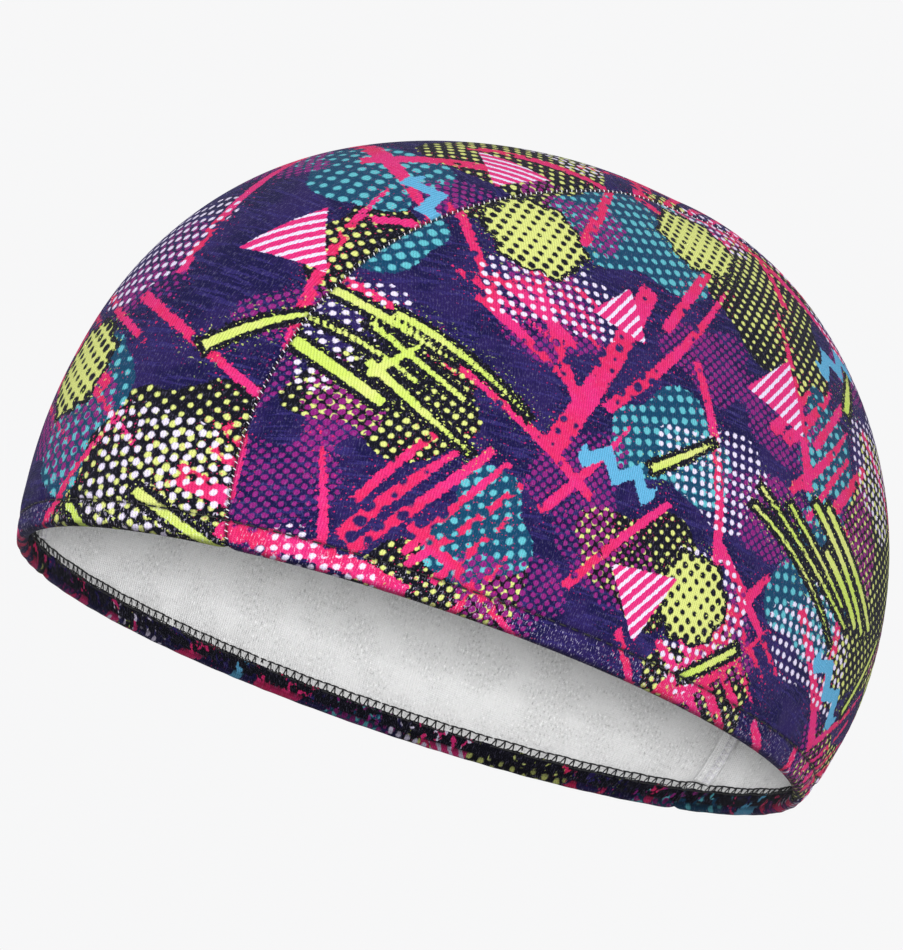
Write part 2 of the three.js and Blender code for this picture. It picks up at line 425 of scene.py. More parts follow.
class Tailor:
    """Lays out the sheets of cloth, with the hem's fold, its puckers and the dip at the seams."""

    LINE_POINTS = 700
    PLY_ROWS = 11
    FOLD_ROWS = 12
    WALL_ROWS = 15

    def __init__(self):
        cap = settings()
        self.cloth = cap.cloth
        self.thread = cap.thread
        self.dome = Dome(cap.shape, cap.cloth)
        self.folded = 2 * self.cloth.thickness + self.cloth.ply_gap
        self.fold_radius = self.folded / 2
        self.seam_line = self.dome.point(*self.dome.whole_seam(self.LINE_POINTS))

    def hem_rows(self):
        """The hem from its raw edge, down the ply, round the fold and up the wall to its own top.

        Each row has a height, a depth into the cap and the angle that the cloth has turned by:
        half a turn on the ply and none on the wall.
        """
        radius = self.fold_radius
        heights = np.linspace(self.cloth.raw_edge, radius, self.PLY_ROWS + 1)[:-1]
        ply = [(height, self.folded, math.pi) for height in heights]
        fold = [(radius * (1 - math.sin(a)), radius * (1 - math.cos(a)), a)
                for a in np.linspace(math.pi, 0, self.FOLD_ROWS + 1)[:-1]]
        wall = [(height, 0.0, 0.0) for height in np.linspace(radius, self.cloth.hem_depth, self.WALL_ROWS)]
        return np.array(ply + fold + wall)

    def relief(self, theta, height, turned, seam_distance, seam_place):
        """How far the cloth stands out of the plain dome, for each point of a sheet."""
        along = self.dome.rim_distance(theta)
        over = height - self.thread.top_height
        ripple = sum(share * np.sin(TURN * along / (length * MM)
                                    + swing * np.sin(TURN * along / (drift * MM)))
                     for share, length, swing, drift in RIPPLES)
        hem = self.cloth.pucker * ripple * np.exp(-(over / (RIPPLE_REACH * MM)) ** 2)
        groove = GROOVE_DEPTH * MM * np.exp(-(over / (GROOVE_WIDTH * MM)) ** 2)
        groove = groove * (0.82 + 0.18 * np.cos(TURN * along / self.thread.top_pitch))
        share = np.clip(height / self.thread.top_height, 0, 1)
        puff = np.where(over < 0, PUFF_HEIGHT * MM * np.sin(math.pi * share), 0)
        shoulder = np.clip(over / (SWELL_REACH * MM), 0, None)
        wall = puff + SWELL_HEIGHT * MM * shoulder * np.exp(1 - shoulder) - groove
        ply = 0.6 * groove - 0.4 * puff
        outer = (1 + np.cos(turned)) / 2
        gather = GATHER_HEIGHT * MM * np.sin(TURN * seam_place / (GATHER_PITCH * MM))
        gather = gather * np.exp(-seam_distance / (GATHER_REACH * MM))
        return hem + wall * outer + ply * (1 - outer) + gather * outer

    def unevenness(self, place):
        """Slow waves of the stretched cloth."""
        x, y, z = (place / MM).T
        waves = np.sin(x / 13 + 0.6 * np.sin(z / 17) + 0.4) * np.sin(y / 19 + 0.8 * np.sin(z / 23))
        waves = waves + 0.6 * np.sin(y / 9.5 - x / 14 + 1.3) * np.sin(z / 11 + x / 21)
        return WAVE_HEIGHT * MM * waves

    def sew(self, theta, climb, depth, turned):
        """Places of the printed face and the back of a sheet, and its outward directions."""
        shape = theta.shape
        theta, climb, depth, turned = (a.reshape(-1) for a in (theta, climb, depth, turned))
        base = self.dome.point(theta, climb)
        out = self.dome.outwards(theta, climb)
        nudge = 1e-4
        up = unit(self.dome.point(theta, climb + nudge) - self.dome.point(theta, climb))
        face = out * np.cos(turned)[:, None] - up * np.sin(turned)[:, None]
        mirrored = base * np.sign(np.sin(theta) + 1e-12)[:, None] ** np.array([1, 0, 0])
        seam_distance, seam_place = distance_to_line(mirrored, self.seam_line)
        height = base[:, 2]
        lift = self.relief(theta, height, turned, seam_distance, seam_place)
        fade = 1 - np.exp(-np.clip(height - self.cloth.hem_depth, 0, None) / (WAVE_START * MM))
        lift = lift + self.unevenness(base) * fade
        valley = self.cloth.valley_depth * np.exp(-(seam_distance / self.cloth.valley_width) ** 1.4)
        printed = base + out * (lift - depth)[:, None] - face * valley[:, None]
        back = printed - face * self.cloth.thickness
        return printed.reshape(*shape, 3), back.reshape(*shape, 3)


def spots(tailor, theta, height, where):
    """Places on the cloth at heights over the rim, and the directions that they face."""
    climb = tailor.dome.climb_at(theta, height)
    on_ply = where == "ply"
    depth = np.full_like(theta, tailor.folded if on_ply else 0.0)
    turned = np.full_like(theta, math.pi if on_ply else 0.0)
    printed, back = tailor.sew(theta, climb, depth, turned)
    out = tailor.dome.outwards(theta, climb)
    if where == "outside":
        return printed, out
    return (printed if on_ply else back), -out


# How many points measure a side panel's height. The centre panel's length takes three times as many.
MEASURE_POINTS = 200


def with_hem(theta, climb, hem, both_ends=False):
    """A sheet's rows with the depth and turn that its hem has, at one end or both."""
    depth, turned = np.zeros_like(theta), np.zeros_like(theta)
    count = len(hem)
    depth[:count], turned[:count] = hem[:, 1:2], hem[:, 2:3]
    if both_ends:
        depth[-count:], turned[-count:] = hem[::-1, 1:2], hem[::-1, 2:3]
    return theta, climb, depth, turned


def side_sheet(tailor):
    """The left side panel as rows of theta, climb, depth and turn, from the hem's raw edge to the seam."""
    dome, cloth = tailor.dome, tailor.cloth
    gap = cloth.seam_gap / 2
    hem = tailor.hem_rows()
    levels = hem[:, 0] / cloth.hem_depth
    first = dome.seam_turn(levels, gap, "front")
    last = dome.seam_turn(levels, gap, "back")
    along = lengths_along(dome.point(np.linspace(first[-1], last[-1], dome.SEAM_POINTS), 1.0))
    columns = odd(along[-1] / cloth.weave_cell)
    seam = dome.seam_on_chart(gap, columns)
    share, = evenly(along, columns, np.linspace(0, 1, dome.SEAM_POINTS))
    hem_theta = first[:, None] + (last - first)[:, None] * share[None, :]
    bottom = dome.on_chart(hem_theta[-1])
    middle = columns // 2
    upwards = np.linspace(bottom[middle], seam[middle], MEASURE_POINTS)
    tall = lengths_along(dome.point(*dome.from_chart(upwards)))[-1]
    rows = odd(tall / cloth.weave_cell + len(hem)) - len(hem)
    share_up = np.linspace(0, 1, rows + 1)[1:, None, None]
    upper_theta, upper_climb = dome.from_chart(bottom[None] * (1 - share_up) + seam[None] * share_up)
    theta = np.concatenate([hem_theta, upper_theta])
    climb = np.concatenate([np.repeat(levels[:, None], columns, axis=1), upper_climb])
    return with_hem(theta, climb, hem)


def centre_sheet(tailor):
    """The centre panel as rows of theta, climb, depth and turn, from the front raw edge to the back one."""
    dome, cloth = tailor.dome, tailor.cloth
    gap = -cloth.seam_gap / 2
    hem = tailor.hem_rows()
    levels = hem[:, 0] / cloth.hem_depth
    front = dome.seam_turn(levels, gap, "front")
    back = math.pi - dome.seam_turn(levels, gap, "back")
    seam = dome.seam_on_chart(gap, 3 * MEASURE_POINTS)
    seam_length = lengths_along(dome.point(*dome.from_chart(seam)))[-1]
    rows = odd(seam_length / cloth.weave_cell)
    columns = odd(2 * front[-1] * dome.half_width / cloth.weave_cell)
    left = dome.seam_on_chart(gap, rows)
    right = left * (-1, 1)
    u = np.linspace(-1, 1, columns)
    start = dome.on_chart(u * front[-1])
    end = dome.on_chart(math.pi - u * back[-1])
    v = np.linspace(0, 1, rows)[:, None, None]
    across = ((u + 1) / 2)[None, :, None]
    flat = (1 - across) * right[:, None] + across * left[:, None] + (1 - v) * start[None] + v * end[None]
    flat = flat - ((1 - v) * ((1 - across) * start[0] + across * start[-1])
                   + v * ((1 - across) * end[0] + across * end[-1]))
    over_theta, over_climb = dome.from_chart(flat)
    hem_front = front[:, None] * u[None, :]
    hem_back = math.pi - back[::-1, None] * u[None, :]
    theta = np.concatenate([hem_front, over_theta[1:-1], hem_back])
    level_rows = np.repeat(levels[:, None], columns, axis=1)
    climb = np.concatenate([level_rows, over_climb[1:-1], level_rows[::-1]])
    return with_hem(theta, climb, hem, both_ends=True)


def quads(a, b, c, d):
    return np.stack([a, b, c, d], axis=-1).reshape(-1, 4).tolist()


def shell_faces(rows, columns):
    """Faces of a sheet: its plain back, then its printed face and edges, which are twice as fine."""
    front = np.arange(rows * columns).reshape(rows, columns)
    back = np.full((rows, columns), -1)
    back[::2, ::2] = rows * columns + np.arange(((rows + 1) // 2) * ((columns + 1) // 2)).reshape(
        (rows + 1) // 2, (columns + 1) // 2)
    printed = quads(front[:-1, :-1], front[:-1, 1:], front[1:, 1:], front[1:, :-1])
    inner = back[::2, ::2]
    plain = quads(inner[:-1, :-1], inner[1:, :-1], inner[1:, 1:], inner[:-1, 1:])
    edges = []
    for line, under in ((front[0], back[0]), (front[-1, ::-1], back[-1, ::-1]),
                        (front[::-1, 0], back[::-1, 0]), (front[:, -1], back[:, -1])):
        for k in range(0, len(line) - 2, 2):
            edges.append((line[k + 2], line[k + 1], line[k], under[k], under[k + 2]))
    return plain, printed + edges


def without_repeats(faces, same):
    """Faces with their corners renamed by same, and without corners or faces that fall together."""
    kept, index = [], []
    for number, face in enumerate(faces):
        corners = [same[c] for c in face]
        corners = [c for k, c in enumerate(corners) if c != corners[k - 1]]
        if len(set(corners)) >= 3 and len(set(corners)) == len(corners):
            kept.append(corners)
            index.append(number)
    return kept, index


# Points nearer to each other than this, in metres, are one point.
SAME_PLACE = 1e-7
SHEET_CREASE = math.radians(50)
ALLOWANCE_CREASE = math.radians(60)


def new_mesh(name, points, faces, vectors, materials=()):
    """A mesh with smooth faces, named materials and vectors kept on its points."""
    mesh = bpy.data.meshes.new(name)
    mesh.from_pydata(points, [], faces)
    if faces:
        mesh.polygons.foreach_set("use_smooth", np.ones(len(faces), bool))
    for key, values in vectors.items():
        layer = mesh.attributes.new(key, "FLOAT_VECTOR", "POINT")
        layer.data.foreach_set("vector", values.astype(np.float32).ravel())
    for material in materials:
        mesh.materials.append(bpy.data.materials[material])
    return mesh


def sheet_mesh(name, printed, back, vectors):
    """A closed mesh of one sheet of cloth. vectors hold three numbers for each point of the face."""
    rows, columns = printed.shape[:2]
    points = np.concatenate([printed.reshape(-1, 3), back[::2, ::2].reshape(-1, 3)])
    plain_faces, printed_faces = shell_faces(rows, columns)
    keys = np.round(points / SAME_PLACE).astype(np.int64)
    _, first, inverse = np.unique(keys, axis=0, return_index=True, return_inverse=True)
    same = first[inverse.reshape(-1)]
    faces, index = without_repeats(plain_faces + printed_faces, same.tolist())
    used = np.unique(np.concatenate([np.array(face) for face in faces]))
    renumber = np.full(len(points), -1)
    renumber[used] = np.arange(len(used))
    table = renumber.tolist()
    faces = [[table[c] for c in face] for face in faces]
    every = {key: np.concatenate([values.reshape(-1, 3), values[::2, ::2].reshape(-1, 3)])[used]
             for key, values in vectors.items()}
    mesh = new_mesh(name, points[used].tolist(), faces, every, ("printed_cloth", "plain_cloth"))
    plain = np.array(index) < len(plain_faces)
    mesh.polygons.foreach_set("material_index", plain.astype(np.int32))
    mesh.set_sharp_from_angle(angle=SHEET_CREASE)
    mesh.update()
    if mesh.validate():
        raise RuntimeError(f"{name}: the sheet's mesh isn't sound")
    return mesh


def add_object(name, mesh):
    obj = bpy.data.objects.new(name, mesh)
    bpy.context.scene.collection.objects.link(obj)
    return obj


def turned_to(points, angle):
    c, s = math.cos(math.radians(angle)), math.sin(math.radians(angle))
    x, y = points.T
    return c * x + s * y, c * y - s * x


def blob(points, size, width, angle, draw):
    x, y = turned_to(points, angle)
    x = x / 1.35
    way = np.arctan2(y, x)
    phase = draw.uniform(0, TURN)
    wobble = 1 + 0.16 * np.sin(3 * way + phase) + 0.1 * np.sin(5 * way - 2 * phase)
    return np.hypot(x, y) - size * wobble


def disc(points, size, width, angle, draw):
    radius = np.hypot(*points.T)
    way = np.arctan2(points[:, 1], points[:, 0])
    radius = radius * (1 + 0.05 * np.sin(6 * way + size) + 0.05 * np.sin(11 * way))
    if draw.random() < 0.4:
        return np.abs(radius - 0.74 * size) - 0.26 * size
    return radius - size


def triangle(points, size, width, angle, draw):
    sides = [turned_to(points, angle + 120 * k)[1] for k in range(3)]
    return np.max(sides, axis=0) - size / 2


def stroke(points, size, width, angle, draw):
    x, y = turned_to(points, angle)
    bend = draw.uniform(-0.004, 0.004)
    y = y + bend * x ** 2
    taper = 1 - 0.75 * np.clip((x / size + 0.5), 0, 1) ** 2 * draw.choice((0.2, 1.0))
    return np.maximum(np.abs(y) - width / 2 * taper, np.abs(x) - size / 2)


def rake(points, size, width, angle, draw):
    x, y = turned_to(points, angle)
    near = np.full(len(points), FAR)
    for k in range(6):
        long = size * draw.uniform(0.45, 1)
        start = draw.uniform(-0.25, 0.25) * size
        thick = width * draw.uniform(0.45, 1.25)
        line = np.stack([x - start, y - (k - 2.5) * 1.75 * width], axis=1)
        near = np.minimum(near, stroke(line, long, thick, draw.uniform(-4, 4), draw))
    return near


def zigzag(points, size, width, angle, draw):
    x, y = turned_to(points, angle)
    fold = np.abs(((x / size + 0.5) % 1) - 0.5) * size
    return np.maximum(np.abs(y - 1.1 * fold) / 1.49 - width / 2, np.abs(x) - 1.25 * size)


FORMS = {"blob": blob, "disc": disc, "triangle": triangle, "stroke": stroke, "rake": rake, "zigzag": zigzag}


# How motifs scatter: shares of the spacing that they stray by and that rows lie apart by, and degrees of turn
STRAY_ACROSS = 0.36
STRAY_UP = 0.32
ROW_GAP = 0.87
STRAY_TURN = 7


def paint(flat, seed):
    """Distance in millimetres from each point of the flat cloth to each layer's nearest motif."""
    draw = random.Random(seed)
    fields = {layer: np.full(len(flat), FAR) for layers in PAINT_ATTRIBUTES.values() for layer in layers}
    for layer, form, spacing, sizes, widths, turns in MOTIFS:
        steps = math.ceil(PAINT_REACH / spacing)
        slide = (draw.uniform(0, spacing), draw.uniform(0, spacing))
        for i in range(-steps, steps + 1):
            for j in range(-steps, steps + 1):
                x = (i + 0.5 * (j % 2) + draw.uniform(-STRAY_ACROSS, STRAY_ACROSS)) * spacing + slide[0]
                y = (ROW_GAP * j + draw.uniform(-STRAY_UP, STRAY_UP)) * spacing + slide[1]
                size = draw.uniform(*sizes)
                width = draw.uniform(*widths)
                angle = draw.choice(turns) + draw.uniform(-STRAY_TURN, STRAY_TURN)
                away = flat - (x, y)
                close = np.hypot(*away.T) < 1.5 * size + 30
                own = random.Random(draw.random())
                if close.any():
                    found = FORMS[form](away[close], size, width, angle, own)
                    fields[layer][close] = np.minimum(fields[layer][close], found)
    return {name: np.clip(np.stack([fields[layer] for layer in layers], axis=-1), -PAINT_LIMIT, PAINT_LIMIT)
            for name, layers in PAINT_ATTRIBUTES.items()}


def unrolled(tailor, theta, climb, turned):
    """Points of a sheet with its hem let down, so that the print runs on round the fold."""
    radius = tailor.fold_radius
    place = tailor.dome.point(theta, climb)
    height = place[..., 2]
    below = np.where(turned > 0, radius - radius * turned, height)
    below = np.where(turned > math.pi - 1e-6, radius - math.pi * radius - (height - radius), below)
    place[..., 2] += np.where(turned > 0, below - height, 0)
    return place


def flat_side(place):
    """Side cloth laid flat, in millimetres: across runs to the back and up to the crown."""
    ray = unit(place - np.array(SIDE_MIDDLE) * MM)
    facing = unit(np.array(SIDE_FACING))
    across = unit(np.cross((0, 0, 1), facing))
    a, b, c = ray @ across, ray @ np.cross(facing, across), ray @ facing
    length = np.hypot(a, b)
    scale = SIDE_SPREAD * np.arctan2(length, c) / np.maximum(length, 1e-9)
    return np.stack([a * scale, b * scale], axis=-1)


def flat_centre(place):
    """Centre cloth laid flat, in millimetres: up runs from the forehead over the crown."""
    ray = place - np.array(CENTRE_MIDDLE) * MM
    fan = np.arctan2(ray[..., 2], -ray[..., 1])
    fan = np.where(fan < -math.pi / 2, fan + TURN, fan)
    across = np.arcsin(np.clip(ray[..., 0] / np.linalg.norm(ray, axis=-1), -1, 1))
    return np.stack([across * CENTRE_SPREAD, (fan - math.pi / 2) * CENTRE_FAN], axis=-1)


class Signal:
    """What runs between the nodes of one material. Sums and products with it add nodes."""

    def __init__(self, shader, socket):
        self.shader, self.socket = shader, socket

    def __add__(self, other):
        return self.shader.math("ADD", self, other)

    def __sub__(self, other):
        return self.shader.math("SUBTRACT", self, other)

    def __rsub__(self, other):
        return self.shader.math("SUBTRACT", other, self)

    def __mul__(self, other):
        return self.shader.math("MULTIPLY", self, other)

    def __truediv__(self, other):
        return self.shader.math("DIVIDE", self, other)

    def __abs__(self):
        return self.shader.math("ABSOLUTE", self)

    def cut(self, other):
        """What is left when the other is taken away, and never less than nothing."""
        return self.shader.math("SUBTRACT", self, other, clamp=True)

    def step(self, low, high):
        """0 below low, 1 above high and a straight slope between."""
        ends = {"Value": self, "From Min": low, "From Max": high}
        return self.shader.read("ShaderNodeMapRange", ends, "Result")


class Shader:
    """Adds nodes to one material, with short calls that take signals or plain numbers."""

    def __init__(self, name):
        self.material = bpy.data.materials.new(name)
        self.material.use_nodes = True
        self.tree = self.material.node_tree
        self.tree.nodes.clear()

    def add(self, kind, inputs=(), **options):
        """Adds a node and gives its outputs."""
        node = self.tree.nodes.new(kind)
        for name, value in options.items():
            setattr(node, name, value)
        for key, value in dict(inputs).items():
            self.feed(node.inputs[key], value)
        return node.outputs

    def feed(self, socket, value):
        if isinstance(value, Signal):
            self.tree.links.new(value.socket, socket)
        elif hasattr(value, "__len__"):
            value = tuple(value)
            socket.default_value = value + (1.0,) if socket.type == "RGBA" and len(value) == 3 else value
        else:
            socket.default_value = value

    def read(self, kind, inputs=(), out=0, **options):
        return Signal(self, self.add(kind, inputs, **options)[out])

    def math(self, operation, *values, clamp=False):
        return self.read("ShaderNodeMath", enumerate(values), operation=operation, use_clamp=clamp)

    def vector(self, operation, *values, out="Vector"):
        return self.read("ShaderNodeVectorMath", enumerate(values), out, operation=operation)

    def mix(self, share, low, high, blend="MIX"):
        return self.read("ShaderNodeMix", {0: share, 6: low, 7: high}, 2, data_type="RGBA", blend_type=blend)

    def shaded(self, colour, shade):
        grey = self.read("ShaderNodeCombineColor", {0: shade, 1: shade, 2: shade})
        return self.mix(1.0, colour, grey, "MULTIPLY")

    def noise(self, vector, scale, detail=2.0, roughness=0.5):
        knobs = {"Vector": vector, "Scale": scale, "Detail": detail, "Roughness": roughness}
        return self.read("ShaderNodeTexNoise", knobs, "Fac")

    def attribute(self, name):
        return self.read("ShaderNodeAttribute", out="Vector", attribute_name=name)

    def three(self, vector):
        return [Signal(self, part) for part in self.add("ShaderNodeSeparateXYZ", {0: vector})]

    def mapped(self, vector, scale, angle=0):
        """The same coordinates turned by an angle in degrees, then scaled."""
        return self.read("ShaderNodeMapping", {"Vector": vector, "Rotation": (0, 0, math.radians(angle)),
                                               "Scale": scale})

    def turned(self, vector, angle, pitch):
        """The same coordinates turned and counted in cells of one pitch."""
        return self.mapped(vector, (1 / pitch, 1 / pitch, 1), angle)

    def cell_distance(self, vector, angle, pitch):
        """Distance from the middle of the nearest dot of a halftone screen, in pitches."""
        cell = self.vector("FRACTION", self.turned(vector, angle, pitch))
        away = self.vector("MULTIPLY", self.vector("SUBTRACT", cell, (0.5, 0.5, 0)), (1, 1, 0))
        return self.vector("LENGTH", away, out="Value")

    def finish(self, colour, roughness, bump, strength, distance, sheen=0.0, tint=(1, 1, 1), specular=0.3):
        relief = self.read("ShaderNodeBump", {"Strength": strength, "Distance": distance, "Height": bump})
        surface = self.read("ShaderNodeBsdfPrincipled", {
            "Base Color": colour, "Roughness": roughness, "Normal": relief, "Specular IOR Level": specular,
            "Sheen Weight": sheen, "Sheen Roughness": 0.45, "Sheen Tint": tint})
        self.add("ShaderNodeOutputMaterial", {"Surface": surface})


def knit(shader, flat, pitch=0.62):
    """Height of the knitted wales and courses, from 0 to 1."""
    x, y, _ = shader.three(flat)
    across = shader.noise(flat, 0.6) * 0.5 + x / pitch
    wale = abs(shader.math("SINE", across * math.pi))
    course = shader.math("SINE", y * (TURN / (0.8 * pitch)) + (wale - 0.5) * 0.55 * TURN)
    return course * 0.22 + wale * 0.6


def printed_cloth(name):
    """Knitted polyester with the print on it: ground, halftone patches, strokes, discs and flags, and painted
    shade at the seam, stitches, fold and hem ply.
    """
    ink = settings().paint
    shader = Shader(name)
    mix, noise = shader.mix, shader.noise
    flat = shader.attribute("cloth_place")
    paints = {layer: distance for key, layers in PAINT_ATTRIBUTES.items()
              for layer, distance in zip(layers, shader.three(shader.attribute(key)))}
    height, from_seam, _ = shader.three(shader.attribute("cloth_edge"))
    cloudy = noise(flat, 0.055, 3.0, 0.6)
    drift = shader.add("ShaderNodeTexNoise", {"Vector": flat, "Scale": 0.85, "Detail": 3.0,
                                              "Roughness": 0.62})
    ragged = Signal(shader, drift["Fac"]) * 2.6 - 1.3
    bent = shader.vector("SUBTRACT", Signal(shader, drift["Color"]), (0.5, 0.5, 0.5))
    screen = shader.vector("ADD", flat, shader.vector("MULTIPLY", bent, (0.95, 0.95, 0.95)))

    def inked(distance, wobble=1.0):
        return (ragged * wobble + distance).step(0.12, -0.12)

    def dots(angle, pitch, radius, crisp=0.06):
        return shader.cell_distance(screen, angle, pitch).step(radius + crisp, radius - crisp)

    swell = cloudy.step(0.3, 0.7) * 0.24
    colour = mix(cloudy.step(0.46, 0.56), ink.navy, ink.violet)
    brush = noise(shader.mapped(screen, (0.1, 1.0, 1), 34), 1.0, 2.0, 0.6).step(0.53, 0.6)
    colour = mix(brush * 0.75, colour, ink.indigo)
    colour = mix(dots(-35, 3.9, swell * 2.0) * 0.5, colour, ink.violet)

    night, teal, magenta = inked(paints["night"]), inked(paints["teal"]), inked(paints["magenta"], 2.0)
    colour = mix(night, colour, ink.night)
    colour = mix(night * dots(28, 2.5, swell + 0.12), colour, ink.lemon)
    colour = mix(teal, colour, ink.teal)
    colour = mix(teal * dots(-18, 3.1, 0.4 - swell), colour, ink.aqua)
    colour = mix(magenta * dots(40, 1.9, swell + 0.24), colour, ink.magenta)

    pink = mix(cloudy.step(0.4, 0.56), ink.pink, ink.red)
    holes = dots(12, 3.9, cloudy.step(0.44, 0.6) * 0.42 - 0.05)
    colour = mix(inked(paints["pink"]).cut(holes), colour, pink)
    spray = noise(flat, 1.25, 1.0, 0.4)
    colour = mix(spray.step(0.33, 0.29) * paints["pink"].step(5, 0.5), colour, pink)
    colour = mix(inked(paints["frost"]) * dots(-8, 2.6, 0.27), colour, ink.frost)

    under = shader.math("MINIMUM", paints["lime"], paints["disc"] + 0.5)
    colour = mix(inked(under - 1.5, 1.4), colour, ink.night)
    lime_spray = spray.step(0.66, 0.7) * under.step(6, 0.5)
    colour = mix(shader.math("MAXIMUM", inked(paints["lime"], 0.6), lime_spray), colour,
                 mix(cloudy.step(0.45, 0.6), ink.lime, ink.lemon))
    punched = dots(30, 2.7, paints["disc"] * 0.02 + 0.4)
    colour = mix(inked(paints["disc"], 1.3).cut(punched), colour, ink.lemon)

    hatch = shader.math("FRACT", shader.three(shader.turned(screen, 36, 2.4))[0]).step(0.6, 0.68)
    colour = mix(inked(paints["flag"], 0.6), colour, mix(hatch, ink.pink, ink.frost))
    colour = mix(inked(paints["sky"], 0.8), colour, ink.sky)

    # Painted shadow: near-black patches laid over the turned-in ply inside the hem
    turned_in = height.step(-1.4, -2.6)
    ply_shadow_patches = noise(flat, 0.5, 2.0, 0.6).step(0.6, 0.54)
    colour = mix(turned_in * ply_shadow_patches, colour, ink.night)

    yarn = noise(shader.mapped(flat, (2.6, 0.9, 1)), 1.0, 2.0, 0.7)
    colour = mix(yarn.step(0.54, 0.72) * 0.26, colour, ink.yarn)
    hem = height.step(6.4, 5.4) * height.step(-1.6, -0.4)
    worn = shader.math("MAXIMUM", hem, from_seam.step(1.3, 0.4))
    colour = mix(worn * yarn.step(0.58, 0.7) * 0.5, colour, ink.frost)
    wales = knit(shader, flat)
    # Painted shade in the grooves between the knit's wales; the yarn's heather is the cloth's own tone
    shade = wales * 0.3 + (yarn * 0.5 + 0.5)
    # Painted shade along the seam's dip, the topstitch's groove and the fold at the rim, darkest on each line
    from_stitch = abs(height - settings().thread.top_height / MM)
    from_fold = abs(height + 0.65)
    for line, near, far, darkest in ((from_seam, 0.15, 1.0, 0.4), (from_stitch, 0.1, 0.75, 0.45),
                                     (from_fold, 1.1, 2.2, 0.32)):
        shade = shade * (line.step(near, far) * (1 - darkest) + darkest)
    # Painted shade over the turned-in ply inside the hem
    shade = shade * (turned_in * -0.35 + 1.0)
    shader.finish(shader.shaded(colour, shade), 0.82, yarn * 0.8 + wales, 0.6, 0.0003, sheen=0.02,
                  tint=(0.8, 0.78, 0.9), specular=0.07)


def plain_cloth(name):
    """The unprinted, lightly brushed back of the cloth."""
    shader = Shader(name)
    flat = shader.attribute("cloth_place")
    heather = shader.noise(shader.mapped(flat, (1.7, 0.85, 1)), 1.0, 3.0, 0.7)
    calm = shader.noise(flat, 0.09, 3.0).step(0.4, 0.56)
    flecks = heather.step(0.56, 0.68) - heather.step(0.44, 0.34)
    tone = flecks * (calm * 0.26 + 0.1) + 0.95
    tone = tone * (calm * -0.09 + 1.06)
    shader.finish(shader.shaded(settings().paint.inside, tone), 0.9, heather * 0.8 + knit(shader, flat, 0.7),
                  0.5, 0.0004, sheen=0.1, specular=0.15)


def thread_material(name, colour):
    """Twisted thread, whose strands run round it as it goes along, with painted shade between them."""
    shader = Shader(name)
    along, around, _ = shader.three(shader.attribute("strand"))
    strand = abs(shader.math("SINE", (along * 3.0 + around) * TURN))
    # Painted shade: the grooves between the strands are darker than the thread
    dark = tuple(0.55 * part for part in colour)
    shader.finish(shader.mix(strand, dark, colour), 0.6, strand, 0.6, 0.0001, specular=0.4)


def signed_volume(points, faces):
    """Volume inside faces, which is negative where they point inwards."""
    total = 0.0
    for face in faces:
        for k in range(1, len(face) - 1):
            a, b, c = points[[face[0], face[k], face[k + 1]]]
            total += np.dot(a, np.cross(b, c)) / 6
    return total


def tube(rings):
    """Points and outward faces of a closed tube through rings of points."""
    length, count = rings.shape[:2]
    faces = [tuple(range(count - 1, -1, -1)), tuple((length - 1) * count + k for k in range(count))]
    for i in range(length - 1):
        for k in range(count):
            a, b = i * count + k, i * count + (k + 1) % count
            faces.append((a, b, b + count, a + count))
    points = rings.reshape(-1, 3)
    if signed_volume(points, faces) < 0:
        faces = [face[::-1] for face in faces]
    return points, faces


def unit_stitch():
    """One stitch, 1 long, 1 wide and 1 high, whose ends dive into the cloth."""
    x = np.linspace(-0.5, 0.5, 6)[:, None]
    around = np.arange(6)[None, :] / 6
    outer = 2 * np.abs(x)
    radius = 0.5 * (1 - 0.35 * outer ** 4)
    rings = np.stack([x + 0 * around, radius * np.cos(TURN * around),
                      radius * np.sin(TURN * around) - 0.9 * outer ** 3], axis=-1)
    strand = np.stack([x + 0 * around, 0 * x + around, 0 * x * around], axis=-1)
    points, faces = tube(rings)
    return add_object("unit_stitch", new_mesh("unit_stitch", points.tolist(), faces, {"strand": strand}))


def stitching_nodes():
    """Lays a stitch on each point, turned along its own 'ahead' and 'out' and as large as its 'size'."""
    group = bpy.data.node_groups.new("Stitching", "GeometryNodeTree")
    for name, way, kind in (("Points", "INPUT", "Geometry"), ("Stitch", "INPUT", "Object"),
                            ("Thread", "INPUT", "Material"), ("Stitches", "OUTPUT", "Geometry")):
        group.interface.new_socket(name=name, in_out=way, socket_type="NodeSocket" + kind)
    nodes, links = group.nodes, group.links
    start, end, stitch, turn, lay, real, cover = (nodes.new(kind) for kind in (
        "NodeGroupInput", "NodeGroupOutput", "GeometryNodeObjectInfo", "FunctionNodeAxesToRotation",
        "GeometryNodeInstanceOnPoints", "GeometryNodeRealizeInstances", "GeometryNodeSetMaterial"))
    turn.primary_axis, turn.secondary_axis = "X", "Z"
    for name, node, socket in (("ahead", turn, "Primary Axis"), ("out", turn, "Secondary Axis"),
                               ("size", lay, "Scale")):
        own = nodes.new("GeometryNodeInputNamedAttribute")
        own.data_type = "FLOAT_VECTOR"
        own.inputs["Name"].default_value = name
        links.new(own.outputs["Attribute"], node.inputs[socket])
    for source, output, node, socket in (
            (start, "Stitch", stitch, "Object"), (start, "Points", lay, "Points"),
            (stitch, "Geometry", lay, "Instance"), (turn, 0, lay, "Rotation"), (lay, 0, real, 0),
            (real, 0, cover, "Geometry"), (start, "Thread", cover, "Material"),
            (cover, 0, end, "Stitches")):
        links.new(source.outputs[output], node.inputs[socket])
    return group


